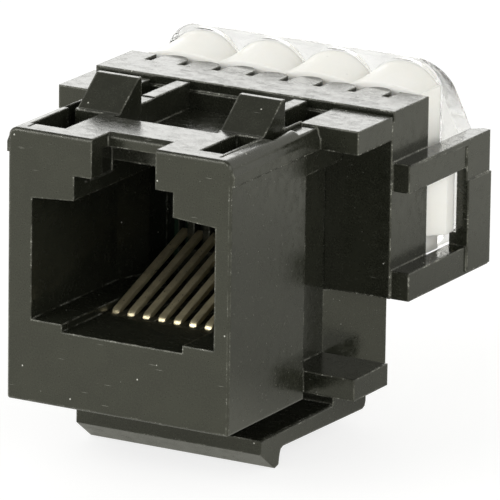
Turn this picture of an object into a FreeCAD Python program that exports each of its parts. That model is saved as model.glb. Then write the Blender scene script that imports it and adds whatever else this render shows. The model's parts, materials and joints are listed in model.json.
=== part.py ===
import FreeCAD, Part
import math
import os

# Keystone jack: a modular socket that snaps into a wall plate, with eight wire
# contacts in front, a circuit board, and a row of eight insulation-displacement
# contacts behind, closed by a wire guide and a clear cap that pull off rearwards.
#
# Frame: +X right and +Z up, seen from the front; +Y runs from the plug's side
# to the wires' side. The origin is the middle of the bottom front edge of the
# nose. All lengths are in millimetres.

# Nose: the block that passes through the plate
NOSE_WIDTH = 14.5
NOSE_HEIGHT = 16.0
NOSE_SIDE_LENGTH = 8.6
NOSE_TOP_RADIUS = 0.55
NOSE_BOTTOM_RADIUS = 0.15
NOSE_FRONT_CHAMFER = 0.12
BAND_DEPTH = 0.14
BAND_TOP_DROP = 0.9

# Plug port
PORT_OFFSET = 0.3
PORT_WIDTH = 11.95
PORT_FLOOR_Z = 4.9
PORT_HEIGHT = 7.15
PORT_SHOULDER_RISE = 0.2
STEP_WIDTH = 6.46
STEP_HEIGHT = 1.45
NOTCH_WIDTH = 4.16
NOTCH_LENGTH = 1.8
NOTCH_CHAMFER = 0.25
PORT_DEPTH = 9.55
KEEPER_THICKNESS = 1.2
KEEPER_POCKET_WIDTH = 6.6
KEEPER_POCKET_END_Y = 4.3
KEEPER_POCKET_ROOF = 0.8
FLOOR_RECESS_WIDTH = 7.9
FLOOR_RECESS_DEPTH = 0.45

# Shoulders that stop the jack on the back of the plate
PANEL_STOP_Y = 9.9
BODY_LENGTH = 13.85
SHOULDER_WIDTH = 19.72
EAR_TOP_Z = 15.88
EAR_THICKNESS = 1.38
FOOT_HEIGHT = 1.28
STOP_RELIEF = 0.08
STOP_CLEARANCE = 0.1
NECK_WIDTH = 11.12
NECK_WALL = 0.66
WEB_THICKNESS = 0.35
WEB_LENGTH = 1.1
WEB_TAPER = 1.8
CROWN_WIDTH = 13.3
CROWN_HEIGHT = 3.1

# Top face: rim, pockets, ribs and the two fixed catches
RIM_LENGTH = 5.0
CHANNEL_FLOOR_DROP = 1.5
CHANNEL_RAMP_LENGTH = 4.2
RIB_INNER_X = 3.45
RIB_WIDTH = 0.85
RIB_STEP_DROP = 0.18
RIB_TOP_Z = 16.05
POCKET_FRONT_Y = 1.25
POCKET_BACK_Y = 5.4
POCKET_FLOOR_DROP = 2.6
RIGHT_POCKET_INNER_X = 4.5
RIGHT_POCKET_WIDTH = 1.52
LEFT_POCKET_INNER_X = 4.25
LEFT_POCKET_WIDTH = 2.25
CATCH_INNER_X = 3.3
CATCH_WIDTH = 2.78
CATCH_FRONT_Y = 5.7
CATCH_BACK_Y = 8.1
CATCH_HEIGHT = 1.65
CATCH_LAND = 0.35
SIDE_SLOT_WIDTH = 0.77
SIDE_SLOT_TAPER = 0.22
SIDE_SLOT_FRONT_Y = 5.35
SIDE_SLOT_BACK_Y = 7.8
RAIL_TOP_Z = 15.76
RAIL_LIP = 0.1
RAIL_GROOVE_WIDTH = 0.13
RAIL_GROOVE_DEPTH = 0.1
RAIL_GROOVE_FRONT_Y = 0.55

# Springy latch under the nose
LATCH_WIDTH = 12.2
LATCH_GAP = 1.91
LATCH_THICKNESS = 0.95
LATCH_ROOT_THICKNESS = 1.15
LATCH_FRONT_Y = 5.85
LATCH_EDGE_CHAMFER = 0.12
LIP_FACE_HEIGHT = 0.85
LIP_DEPTH = 2.05
LIP_LENGTH = 2.2
LIP_TIP_LENGTH = 0.55
LATCH_ROOT_GAP = 0.45
LATCH_END_RADIUS = 0.4

# Tub behind the shoulders, under the rear housing, that takes the board's foot
TUB_LENGTH = 4.35
TUB_WIDTH = 16.5
TUB_END_WIDTH = 14.2
TUB_WALL = 0.66
TUB_FLOOR = 0.7
TUB_FLOOR_Z = 0.0

# Rear housing
SPLIT_GAP = 0.05
PLATE_THICKNESS = 0.9
COMB_TOP_Z = 16.13
COMB_FRONT_STEP = 0.2
COMB_THICKNESS = 1.2
REAR_LENGTH = 4.3
WALL = 0.66
BOX_BOTTOM_Z = 5.1
WINDOW_WIDTH = 9.8
WINDOW_LINTEL = 1.03
SKIRT_THICKNESS = 0.7
SKIRT_CLEARANCE = 0.06
SLOT_PITCH = 2.25
SLOT_OFFSET = -0.1
SLOT_COUNT = 8
SLOT_WIDTH = 0.45
SLOT_DEPTH = 1.4
TOOTH_ARCH = 0.8
TOOTH_BULGE = 0.4
LOW_TOOTH_ARCH = 0.5
LOW_TOOTH_BULGE = 0.15

# Side loops of the rear housing
LOOP_OUTER_X = 11.05
LOOP_INNER_X = 9.95
LOOP_DROP = 2.98
LOOP_TOP_BAR = 1.68
LOOP_BOTTOM_BAR = 1.65
LOOP_REACH = 2.65
LOOP_POST_LENGTH = 2.75
LOOP_PAD_DEPTH = 0.12
LOOP_PAD_TOP_Z = 10.7
LOOP_PANEL_DEPTH = 0.08
LOOP_PANEL_TAPER = 0.36
LOOP_LEAD_CHAMFER = 0.6

# Circuit board
BOARD_THICKNESS = 1.0
BOARD_CLEARANCE = 0.1
BOARD_HOLE_RADIUS = 0.32
BOARD_TOP_CLEARANCE = 0.15
BOARD_FOOT_WIDTH = 10.6
BOARD_FOOT_Z = 1.6

# Contact carrier
CARRIER_WIDTH = 9.2
CARRIER_FRONT_Y = 4.6
CARRIER_BOTTOM_Z = 1.5
CARRIER_CLEARANCE = 0.05
CARRIER_WALL_THICKNESS = 0.8
CARRIER_WALL_TOP_Z = 12.0
CARRIER_SLOT_CLEARANCE = 0.06

# Wire contacts of the plug port
CONTACT_COUNT = 8
CONTACT_PITCH = 1.02
CONTACT_WIDTH = 0.46
CONTACT_THICKNESS = 0.3
CONTACT_BEND_RADIUS = 0.3
CONTACT_BEND_Y = 5.75
CONTACT_RUN_Z = 3.9
CONTACT_ANGLE = 20.5
CONTACT_TIP_GAP = 0.5
CONTACT_TAIL_DROP = 1.0
CONTACT_TAIL_LENGTH = 0.6

# Insulation-displacement contacts
IDC_DROP = 3.13
IDC_THICKNESS = 0.4
IDC_WIDTH = 1.5
IDC_GAP = 0.3
IDC_GAP_LENGTH = 2.6
IDC_LENGTH = 4.2
IDC_POINT = 0.45
IDC_SHOULDER = 0.35
IDC_PIN_WIDTH = 0.5

# Wire guide
GUIDE_WIDTH = 18.1
GUIDE_FRONT_WIDTH = 18.2
GUIDE_BOARD_GAP = 0.6
GUIDE_CLEARANCE = 0.12
GUIDE_REACH = 2.95
GUIDE_BOTTOM_Z = 6.3
HUMP_COUNT = 4
HUMP_PITCH = 4.42
HUMP_FOOT_DROP = 0.08
HUMP_FRONT_RISE = 0.3
HUMP_BACK_RISE = 1.1
GUIDE_SLOT_CLEARANCE = 0.12
WIRE_GROOVE_WIDTH = 0.8
WIRE_GROOVE_DEPTH = 0.8
TAB_OUTER_X = 10.28
TAB_BOTTOM_Z = 7.6
TAB_TOP_Z = 11.35
TAB_LAND = 0.9
TAB_CLEARANCE = 0.1

# Clear cap
CAP_WIDTH = 18.3
CAP_RISE = 1.32
CAP_CORNER_RADIUS = 2.0
CAP_WALL = 0.7
CAP_LENGTH = 3.85
CAP_FLAT_LENGTH = 0.2
CAP_SLOPE_HEIGHT = 5.05
CAP_BOTTOM_Z = 6.0
CAP_RIM_THICKNESS = 0.4
CAP_ARCH_RISE = 0.15
CAP_ARCH_GAP = 0.1
CAP_ARCH_FOOT = 0.35

# Sizes worked out from the ones above
nose_half = NOSE_WIDTH / 2
shoulder_half = SHOULDER_WIDTH / 2
neck_half = NECK_WIDTH / 2
crown_half = CROWN_WIDTH / 2
port_half = PORT_WIDTH / 2
port_top_z = PORT_FLOOR_Z + PORT_HEIGHT
step_top_z = port_top_z + PORT_SHOULDER_RISE + STEP_HEIGHT
recess_floor_z = PORT_FLOOR_Z - FLOOR_RECESS_DEPTH
channel_floor_z = NOSE_HEIGHT - CHANNEL_FLOOR_DROP
pocket_floor_z = NOSE_HEIGHT - POCKET_FLOOR_DROP
ear_bottom_z = EAR_TOP_Z - EAR_THICKNESS
catch_outer_x = CATCH_INNER_X + CATCH_WIDTH
latch_back_y = BODY_LENGTH + TUB_LENGTH
rear_front_y = BODY_LENGTH + SPLIT_GAP
plate_back_y = rear_front_y + PLATE_THICKNESS
comb_back_y = rear_front_y + REAR_LENGTH
comb_bottom_z = COMB_TOP_Z - COMB_THICKNESS
window_top_z = comb_bottom_z - WINDOW_LINTEL
loop_top_z = COMB_TOP_Z - LOOP_DROP
idc_z = COMB_TOP_Z - IDC_DROP
loop_post_y = comb_back_y + LOOP_REACH
loop_back_y = loop_post_y + LOOP_POST_LENGTH
box_inner_half = shoulder_half - WALL
board_front_y = plate_back_y
board_back_y = board_front_y + BOARD_THICKNESS
contact_bottom_z = CONTACT_RUN_Z - CONTACT_THICKNESS / 2
carrier_back_y = BODY_LENGTH - CARRIER_CLEARANCE
idc_back_y = board_back_y + IDC_LENGTH
guide_front_y = board_back_y + GUIDE_BOARD_GAP
guide_step_y = comb_back_y + TOOTH_BULGE + GUIDE_CLEARANCE
guide_back_y = comb_back_y + GUIDE_REACH
hump_foot_z = COMB_TOP_Z - HUMP_FOOT_DROP
cap_back_y = guide_back_y + CAP_LENGTH
cap_top_z = COMB_TOP_Z + CAP_RISE
slope_bottom_z = cap_top_z - CAP_SLOPE_HEIGHT
slot_places = [SLOT_OFFSET + (i - (SLOT_COUNT - 1) / 2) * SLOT_PITCH
               for i in range(SLOT_COUNT)]
contact_places = [PORT_OFFSET + (i - (CONTACT_COUNT - 1) / 2) * CONTACT_PITCH
                  for i in range(CONTACT_COUNT)]
hump_places = [(i - (HUMP_COUNT - 1) / 2) * HUMP_PITCH for i in range(HUMP_COUNT)]


def vec(x, y, z):
    return FreeCAD.Vector(x, y, z)


def block(x0, x1, y0, y1, z0, z1):
    """Box between two corners."""
    return Part.makeBox(x1 - x0, y1 - y0, z1 - z0, vec(x0, y0, z0))


def mirrored(x0, x1, y0, y1, z0, z1):
    """The same box on the right side and on the left side."""
    return [block(x0, x1, y0, y1, z0, z1), block(-x1, -x0, y0, y1, z0, z1)]


def prism(points, direction):
    """Straight-sided prism on a closed outline of points."""
    outline = Part.makePolygon(points + [points[0]])
    return Part.Face(outline).extrude(direction)


def side_prism(profile, x0, x1):
    """Prism across X on an outline of (y, z) pairs."""
    return prism([vec(x0, y, z) for y, z in profile], vec(x1 - x0, 0, 0))


def front_prism(profile, y0, y1):
    """Prism along Y on an outline of (x, z) pairs."""
    return prism([vec(x, y0, z) for x, z in profile], vec(0, y1 - y0, 0))


def rounded_outline(x0, x1, z0, z1, bottom_radius, top_radius, y):
    """Upright rectangle at depth y with its bottom and top corners rounded."""
    def corner(cx, cz, radius, start):
        angles = [math.radians(start + turn) for turn in (0, 45, 90)]
        return Part.Arc(*[vec(cx + radius * math.cos(a), y, cz + radius * math.sin(a))
                          for a in angles]).toShape()

    low = bottom_radius
    high = top_radius
    arcs = [corner(x1 - high, z1 - high, high, 0), corner(x0 + high, z1 - high, high, 90),
            corner(x0 + low, z0 + low, low, 180), corner(x1 - low, z0 + low, low, 270)]
    edges = []
    for arc, following in zip(arcs, arcs[1:] + arcs[:1]):
        edges.append(arc)
        edges.append(Part.makeLine(arc.Vertexes[-1].Point, following.Vertexes[0].Point))
    return Part.Wire(edges)


def rounded_block(x0, x1, y0, y1, z0, z1, bottom_radius, top_radius):
    """Block along Y whose long edges are rounded."""
    outline = rounded_outline(x0, x1, z0, z1, bottom_radius, top_radius, y0)
    return Part.Face(outline).extrude(vec(0, y1 - y0, 0))


def port_profile():
    """Outline of the plug port: a main window, a shoulder step and a key notch."""
    shoulder_z = port_top_z + PORT_SHOULDER_RISE
    right = [(port_half, PORT_FLOOR_Z), (port_half, port_top_z), (STEP_WIDTH / 2, shoulder_z),
             (STEP_WIDTH / 2, step_top_z)]
    left = [(-x, z) for x, z in reversed(right)]
    return [(x + PORT_OFFSET, z) for x, z in right + left]


def make_nose():
    """Nose with rounded long edges, a chamfered front outline and a proud band on each side.

    Above the ears' underside it runs on to the stop; below that it ends short of it.
    """
    nose = rounded_block(-nose_half, nose_half, 0, PANEL_STOP_Y, 0, NOSE_HEIGHT,
                         NOSE_BOTTOM_RADIUS, NOSE_TOP_RADIUS)
    rim = [edge for edge in nose.Edges if edge.BoundBox.YMax < NOSE_FRONT_CHAMFER / 2]
    nose = nose.makeChamfer(NOSE_FRONT_CHAMFER, rim)
    undercut = block(-NOSE_WIDTH, NOSE_WIDTH, NOSE_SIDE_LENGTH, PANEL_STOP_Y + 1,
                     -1, ear_bottom_z)
    inner = nose_half - NOSE_TOP_RADIUS
    outer = nose_half + BAND_DEPTH
    profile = [(inner, ear_bottom_z), (outer, ear_bottom_z),
               (outer, NOSE_HEIGHT - BAND_TOP_DROP), (nose_half, NOSE_HEIGHT - NOSE_TOP_RADIUS),
               (inner, NOSE_HEIGHT - NOSE_TOP_RADIUS)]
    band = front_prism(profile, NOSE_FRONT_CHAMFER, PANEL_STOP_Y)
    bands = [band, band.mirror(vec(0, 0, 0), vec(1, 0, 0))]
    return nose.cut(undercut).multiFuse(bands)


def plan_prism(points, z0, z1):
    """Prism along Z on an outline of (x, y) pairs."""
    return prism([vec(x, y, z0) for x, y in points], vec(0, 0, z1 - z0))


def both_sides(points):
    """Closed plan outline from its right half, given from front to back."""
    return points + [(-x, y) for x, y in reversed(points)]


def shifted(path, shift):
    """Path of (x, y) points moved to its left by shift, with its corners kept sharp."""
    normals = []
    for (x0, y0), (x1, y1) in zip(path, path[1:]):
        length = math.hypot(x1 - x0, y1 - y0)
        normals.append(((y0 - y1) / length, (x1 - x0) / length))
    moved = []
    for (x, y), before, after in zip(path, normals[:1] + normals, normals + normals[-1:]):
        scale = shift / (1 + before[0] * after[0] + before[1] * after[1])
        moved.append((x + scale * (before[0] + after[0]), y + scale * (before[1] + after[1])))
    return moved


def tub_plan(inset, over):
    """Plan of the tub, drawn in by inset and run past its open end by over.

    Its sides splay outwards behind the neck and then draw in towards the end.
    """
    wide = TUB_WIDTH / 2
    splay_end = BODY_LENGTH + wide - neck_half
    taper = (TUB_END_WIDTH / 2 - wide) / (latch_back_y - splay_end)
    end = latch_back_y + over
    side = [(neck_half, BODY_LENGTH - NECK_WALL), (neck_half, BODY_LENGTH), (wide, splay_end),
            (wide + taper * (end - splay_end), end)]
    return both_sides(shifted(side, inset))


def make_shoulders():
    """Crown, neck, ears, feet and rear tub behind the nose's sides."""
    crown_z = NOSE_HEIGHT - CROWN_HEIGHT
    start = NOSE_SIDE_LENGTH - NECK_WALL
    web = web_outer_x()
    web_end = NOSE_SIDE_LENGTH + WEB_LENGTH
    neck_plan = both_sides([(web, start), (web, web_end), (neck_half, web_end + WEB_TAPER),
                            (neck_half, BODY_LENGTH)])
    stop_inner = nose_half + STOP_CLEARANCE
    pieces = [block(-crown_half, crown_half, start, BODY_LENGTH, crown_z, EAR_TOP_Z),
              plan_prism(neck_plan, 0, crown_z),
              plan_prism(tub_plan(0, 0), TUB_FLOOR_Z, BOX_BOTTOM_Z - SPLIT_GAP)]
    pieces += mirrored(crown_half - WALL, shoulder_half, PANEL_STOP_Y, BODY_LENGTH,
                       ear_bottom_z, EAR_TOP_Z)
    pieces += mirrored(stop_inner, shoulder_half, PANEL_STOP_Y, BODY_LENGTH, 0, FOOT_HEIGHT)
    pieces += mirrored(neck_half - WALL, stop_inner, PANEL_STOP_Y + STOP_RELIEF, BODY_LENGTH,
                       0, FOOT_HEIGHT)
    return pieces


def web_outer_x():
    """Outer face of the thin webs beside the end of the plug port."""
    return port_half + PORT_OFFSET + WEB_THICKNESS


def cavity_cuts():
    """Plug port with its keeper pocket, the cavity behind it and the tub's inside."""
    inner_half = neck_half - NECK_WALL
    pocket_half = KEEPER_POCKET_WIDTH / 2
    port = front_prism(port_profile(), -1, PORT_DEPTH)
    pocket = block(PORT_OFFSET - pocket_half, PORT_OFFSET + pocket_half, KEEPER_THICKNESS,
                   KEEPER_POCKET_END_Y, step_top_z - WALL, NOSE_HEIGHT - KEEPER_POCKET_ROOF)
    right = PORT_OFFSET + port_half
    left = PORT_OFFSET - port_half
    taper = WEB_TAPER * (right - inner_half) / (web_outer_x() - neck_half)
    plan = [(right, PORT_DEPTH - WALL), (right, PORT_DEPTH), (inner_half, PORT_DEPTH + taper),
            (inner_half, BODY_LENGTH + 1), (-inner_half, BODY_LENGTH + 1),
            (-inner_half, PORT_DEPTH + taper), (left, PORT_DEPTH), (left, PORT_DEPTH - WALL)]
    throat = plan_prism(plan, PORT_FLOOR_Z, port_top_z)
    tub = plan_prism(tub_plan(TUB_WALL, WALL), TUB_FLOOR_Z + TUB_FLOOR, BOX_BOTTOM_Z + 1)
    return [port, pocket, throat, tub]


def make_catches():
    """Two fixed wedges on top that hook behind the front of the plate."""
    top = NOSE_HEIGHT + CATCH_HEIGHT
    profile = [(CATCH_FRONT_Y, NOSE_HEIGHT), (CATCH_BACK_Y - CATCH_LAND, top),
               (CATCH_BACK_Y, top), (CATCH_BACK_Y, pocket_floor_z),
               (POCKET_BACK_Y, pocket_floor_z), (POCKET_BACK_Y, NOSE_HEIGHT)]
    return [side_prism(profile, CATCH_INNER_X, catch_outer_x),
            side_prism(profile, -catch_outer_x, -CATCH_INNER_X)]


def latch_profile():
    """Side outline of the springy latch: a lip in front, a thin arm and a thick root."""
    top = -LATCH_GAP
    arm_bottom = top - LATCH_THICKNESS
    root_bottom = top - LATCH_ROOT_THICKNESS
    lip_bottom = top - LIP_DEPTH
    lip_back = LATCH_FRONT_Y + LIP_LENGTH
    radius = LATCH_END_RADIUS
    round_off = radius * (1 - math.sqrt(0.5))
    root_top = TUB_FLOOR_Z + TUB_FLOOR
    root_y = BODY_LENGTH + LATCH_ROOT_GAP
    back = latch_back_y
    return [(LATCH_FRONT_Y, top), (root_y, top), (root_y, root_top),
            (back, root_top), (back, root_bottom + radius),
            (back - round_off, root_bottom + round_off), (back - radius, root_bottom),
            (lip_back + radius, arm_bottom), (lip_back + round_off, arm_bottom - round_off),
            (lip_back, arm_bottom - radius), (lip_back - round_off, lip_bottom + round_off),
            (lip_back - LIP_TIP_LENGTH, lip_bottom),
            (LATCH_FRONT_Y, top - LIP_FACE_HEIGHT)]


def make_latch():
    """Latch that bends up as the jack is pushed into the plate."""
    half = LATCH_WIDTH / 2
    latch = side_prism(latch_profile(), -half, half)
    top = -LATCH_GAP - LATCH_EDGE_CHAMFER / 2
    sides = [edge for edge in latch.Edges if edge.BoundBox.ZMin > top
             and edge.BoundBox.ZLength < LATCH_EDGE_CHAMFER / 2
             and edge.BoundBox.YMin < LATCH_FRONT_Y + LIP_LENGTH and edge.BoundBox.XLength < half]
    return latch.makeChamfer(LATCH_EDGE_CHAMFER, sides)


def notch_cuts():
    """Key notch above the port, open through the top, with a chamfer on its rear edge."""
    left = PORT_OFFSET - NOTCH_WIDTH / 2
    right = PORT_OFFSET + NOTCH_WIDTH / 2
    slot = block(left, right, -1, NOTCH_LENGTH, step_top_z - 1, NOSE_HEIGHT + 1)
    front = NOTCH_LENGTH - NOTCH_CHAMFER
    top = NOSE_HEIGHT + NOTCH_CHAMFER
    chamfer = side_prism([(front, top), (front, NOSE_HEIGHT - 2 * NOTCH_CHAMFER),
                          (NOTCH_LENGTH + 2 * NOTCH_CHAMFER, top)], left, right)
    return [slot, chamfer]


def pocket_floor_cut(x0, x1, y0, y1):
    """Cut from above, down to the floor that the pockets share."""
    low, high = sorted((x0, x1))
    return block(low, high, y0, y1, pocket_floor_z, NOSE_HEIGHT + 1)


def rail_cuts():
    """Right rail: a slot beside the catch, a lower end, and a groove behind a thin lip."""
    over = NOSE_HEIGHT + 1
    slot_outer = catch_outer_x + SIDE_SLOT_WIDTH
    slot = plan_prism([(catch_outer_x, SIDE_SLOT_FRONT_Y), (slot_outer, SIDE_SLOT_FRONT_Y),
                       (slot_outer - SIDE_SLOT_TAPER, SIDE_SLOT_BACK_Y),
                       (catch_outer_x, SIDE_SLOT_BACK_Y)], pocket_floor_z, over)
    groove = catch_outer_x + RAIL_LIP
    groove_end = groove + RAIL_GROOVE_WIDTH
    floor = NOSE_HEIGHT - RAIL_GROOVE_DEPTH
    low_floor = RAIL_TOP_Z - RAIL_GROOVE_DEPTH
    return [slot,
            block(groove, NOSE_WIDTH, SIDE_SLOT_BACK_Y, PANEL_STOP_Y, RAIL_TOP_Z, over),
            block(groove, groove_end, RAIL_GROOVE_FRONT_Y, SIDE_SLOT_FRONT_Y, floor, over),
            block(groove, groove_end, SIDE_SLOT_BACK_Y, PANEL_STOP_Y, low_floor, over)]


def top_cuts():
    """Channel between the ribs, pockets beside it and the deep recesses behind the catches."""
    ramp_end = RIM_LENGTH + CHANNEL_RAMP_LENGTH
    over = NOSE_HEIGHT + 1
    channel = side_prism([(RIM_LENGTH, NOSE_HEIGHT - RIB_STEP_DROP),
                          (RIM_LENGTH + CHANNEL_RAMP_LENGTH / 3,
                           channel_floor_z + CHANNEL_FLOOR_DROP / 3),
                          (ramp_end, channel_floor_z), (BODY_LENGTH + 1, channel_floor_z),
                          (BODY_LENGTH + 1, over), (RIM_LENGTH, over)], -RIB_INNER_X, RIB_INNER_X)
    right = RIGHT_POCKET_INNER_X
    left = -LEFT_POCKET_INNER_X
    recess = RIB_INNER_X + RIB_WIDTH
    cuts = [channel,
            pocket_floor_cut(right, right + RIGHT_POCKET_WIDTH, POCKET_FRONT_Y, POCKET_BACK_Y),
            pocket_floor_cut(left, left - LEFT_POCKET_WIDTH, POCKET_FRONT_Y, POCKET_BACK_Y),
            pocket_floor_cut(recess, catch_outer_x, CATCH_BACK_Y, BODY_LENGTH + 1),
            pocket_floor_cut(-recess, -catch_outer_x, CATCH_BACK_Y, BODY_LENGTH + 1)]
    rails = rail_cuts()
    return cuts + rails + [cut.mirror(vec(0, 0, 0), vec(1, 0, 0)) for cut in rails]


def make_ribs():
    """Two ribs between the channel and the recesses, a step higher behind the plate."""
    outer = RIB_INNER_X + RIB_WIDTH
    low_top = NOSE_HEIGHT - RIB_STEP_DROP
    ribs = mirrored(RIB_INNER_X, outer, CATCH_BACK_Y - WALL, PANEL_STOP_Y, channel_floor_z, low_top)
    return ribs + mirrored(RIB_INNER_X, outer, PANEL_STOP_Y, BODY_LENGTH, channel_floor_z, RIB_TOP_Z)


def make_jack_housing():
    """Front moulding: nose, shoulders, catches, latch and tub around the plug port."""
    body = make_nose().multiFuse(make_shoulders() + [make_latch()])
    recess_half = FLOOR_RECESS_WIDTH / 2
    recess = block(PORT_OFFSET - recess_half, PORT_OFFSET + recess_half, -1, BODY_LENGTH + WALL,
                   recess_floor_z, PORT_FLOOR_Z + 1)
    carrier_half = CARRIER_WIDTH / 2 + CARRIER_CLEARANCE
    seat = block(PORT_OFFSET - carrier_half, PORT_OFFSET + carrier_half,
                 CARRIER_FRONT_Y - CARRIER_CLEARANCE, BODY_LENGTH + WALL,
                 CARRIER_BOTTOM_Z, recess_floor_z)
    body = body.cut(cavity_cuts() + notch_cuts() + top_cuts() + [recess, seat])
    return body.multiFuse(make_ribs() + make_catches()).removeSplitter()


def tooth(centre, bulge, arch):
    """One tooth of the comb, seen from above: straight sides and an arched end."""
    half = (SLOT_PITCH - SLOT_WIDTH) / 2
    root = comb_back_y - SLOT_DEPTH - WALL
    end = comb_back_y + bulge
    z = comb_bottom_z
    corners = [vec(centre - half, end - arch, z), vec(centre - half, root, z),
               vec(centre + half, root, z), vec(centre + half, end - arch, z)]
    arc = Part.Arc(corners[3], vec(centre, end, z), corners[0]).toShape()
    outline = Part.Wire(Part.makePolygon(corners).Edges + [arc])
    return Part.Face(outline).extrude(vec(0, 0, COMB_THICKNESS))


def make_comb():
    """Top wall of the rear housing with eight wire slots between nine teeth."""
    front = rear_front_y + COMB_FRONT_STEP
    wall = block(-shoulder_half, shoulder_half, front, comb_back_y - SLOT_DEPTH,
                 comb_bottom_z, COMB_TOP_Z)
    first = slot_places[0] - SLOT_WIDTH / 2
    last = slot_places[-1] + SLOT_WIDTH / 2
    ends = [block(-shoulder_half, first, front, comb_back_y, comb_bottom_z, COMB_TOP_Z),
            block(last, shoulder_half, front, comb_back_y, comb_bottom_z, COMB_TOP_Z)]
    middles = [(a + b) / 2 for a, b in zip(slot_places, slot_places[1:])]
    forms = [(TOOTH_BULGE, TOOTH_ARCH), (LOW_TOOTH_BULGE, LOW_TOOTH_ARCH)]
    teeth = [tooth(x, *forms[i % 2]) for i, x in enumerate(middles)]
    return [wall] + ends + teeth


def make_loop():
    """Right side loop: two bars and a post, with a groove where the guide's tab runs."""
    inner = shoulder_half - WALL / 2
    front = rear_front_y + COMB_FRONT_STEP / 2
    bar_bottom_z = loop_top_z - LOOP_TOP_BAR
    top_bar = block(inner, LOOP_OUTER_X, front, loop_back_y, bar_bottom_z, loop_top_z)
    low_bar = block(inner, LOOP_OUTER_X, front, loop_back_y, BOX_BOTTOM_Z,
                    BOX_BOTTOM_Z + LOOP_BOTTOM_BAR)
    post = block(LOOP_INNER_X, LOOP_OUTER_X, loop_post_y, loop_back_y, BOX_BOTTOM_Z, loop_top_z)
    pad = block(LOOP_INNER_X + WALL, LOOP_OUTER_X + LOOP_PAD_DEPTH, loop_post_y, loop_back_y,
                BOX_BOTTOM_Z + LOOP_PAD_DEPTH, LOOP_PAD_TOP_Z)
    loop = top_bar.multiFuse([low_bar, post, pad])
    relief = block(0, LOOP_INNER_X, comb_back_y, loop_back_y + 1, 0, COMB_TOP_Z)
    groove = block(0, TAB_OUTER_X + TAB_CLEARANCE, loop_post_y - 1, loop_back_y + 1,
                   TAB_BOTTOM_Z - TAB_CLEARANCE, TAB_TOP_Z + TAB_CLEARANCE)
    lead = plan_prism([(LOOP_INNER_X - 1, loop_back_y + 1),
                       (LOOP_INNER_X - 1, loop_back_y - LOOP_LEAD_CHAMFER - 1),
                       (LOOP_INNER_X + LOOP_LEAD_CHAMFER, loop_back_y),
                       (LOOP_INNER_X + LOOP_LEAD_CHAMFER, loop_back_y + 1)], 0, COMB_TOP_Z)
    panel = side_prism([(front - 1, bar_bottom_z - 1), (loop_post_y, bar_bottom_z - 1),
                        (loop_post_y, loop_top_z - LOOP_PANEL_TAPER), (front - 1, loop_top_z)],
                       LOOP_OUTER_X - LOOP_PANEL_DEPTH, LOOP_OUTER_X + 1)
    return loop.cut([relief, groove, lead, panel])


def make_rear_housing():
    """Rear moulding: front plate, comb, box walls, rear skirt and side loops."""
    window_half = WINDOW_WIDTH / 2
    plate = block(-shoulder_half, shoulder_half, rear_front_y, plate_back_y,
                  BOX_BOTTOM_Z, comb_bottom_z + COMB_THICKNESS / 2)
    plate = plate.cut(block(-window_half, window_half, rear_front_y - 1, plate_back_y + 1,
                            BOX_BOTTOM_Z - 1, window_top_z))
    start = plate_back_y - WALL
    walls = mirrored(box_inner_half, shoulder_half, start, comb_back_y, BOX_BOTTOM_Z,
                     COMB_TOP_Z - WALL)
    floor = block(-shoulder_half, shoulder_half, start, comb_back_y, BOX_BOTTOM_Z,
                  BOX_BOTTOM_Z + WALL)
    floor = floor.cut(plan_prism(tub_plan(TUB_WALL, WALL), BOX_BOTTOM_Z - 1, BOX_BOTTOM_Z + 1))
    skirt_bottom = TUB_FLOOR_Z + TUB_FLOOR + SKIRT_CLEARANCE
    across = block(-TUB_WIDTH / 2, TUB_WIDTH / 2, latch_back_y - SKIRT_THICKNESS, comb_back_y,
                   skirt_bottom, BOX_BOTTOM_Z + WALL)
    skirt = across.common(plan_prism(tub_plan(TUB_WALL + SKIRT_CLEARANCE, WALL),
                                     skirt_bottom, BOX_BOTTOM_Z + WALL))
    tie = block(-TUB_WIDTH / 2, TUB_WIDTH / 2, latch_back_y - SKIRT_THICKNESS, comb_back_y,
                BOX_BOTTOM_Z, BOX_BOTTOM_Z + WALL)
    loop = make_loop()
    loops = [loop, loop.mirror(vec(0, 0, 0), vec(1, 0, 0))]
    return plate.multiFuse(walls + [floor, skirt, tie] + make_comb() + loops).removeSplitter()


def tail_z(number):
    """Height of a plug contact's tail: every second tail sits lower in the board."""
    return CONTACT_RUN_Z - (CONTACT_TAIL_DROP if number % 2 else 0)


def make_circuit_board():
    """Board with a wide upper part for the wires' contacts and a narrow foot in the tub."""
    upper_half = box_inner_half - BOARD_CLEARANCE
    foot_half = BOARD_FOOT_WIDTH / 2
    foot_top = BOX_BOTTOM_Z + WALL + BOARD_CLEARANCE
    board = block(-upper_half, upper_half, board_front_y, board_back_y, foot_top,
                  comb_bottom_z - BOARD_TOP_CLEARANCE)
    board = board.fuse(block(-foot_half, foot_half, board_front_y, board_back_y, BOARD_FOOT_Z,
                             foot_top + BOARD_CLEARANCE))
    places = [(x, tail_z(i)) for i, x in enumerate(contact_places)]
    places += [(x, idc_z) for x in slot_places]
    holes = [Part.makeCylinder(BOARD_HOLE_RADIUS, BOARD_THICKNESS + 2,
                               vec(x, board_front_y - 1, z), vec(0, 1, 0)) for x, z in places]
    return board.cut(holes).removeSplitter()


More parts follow.
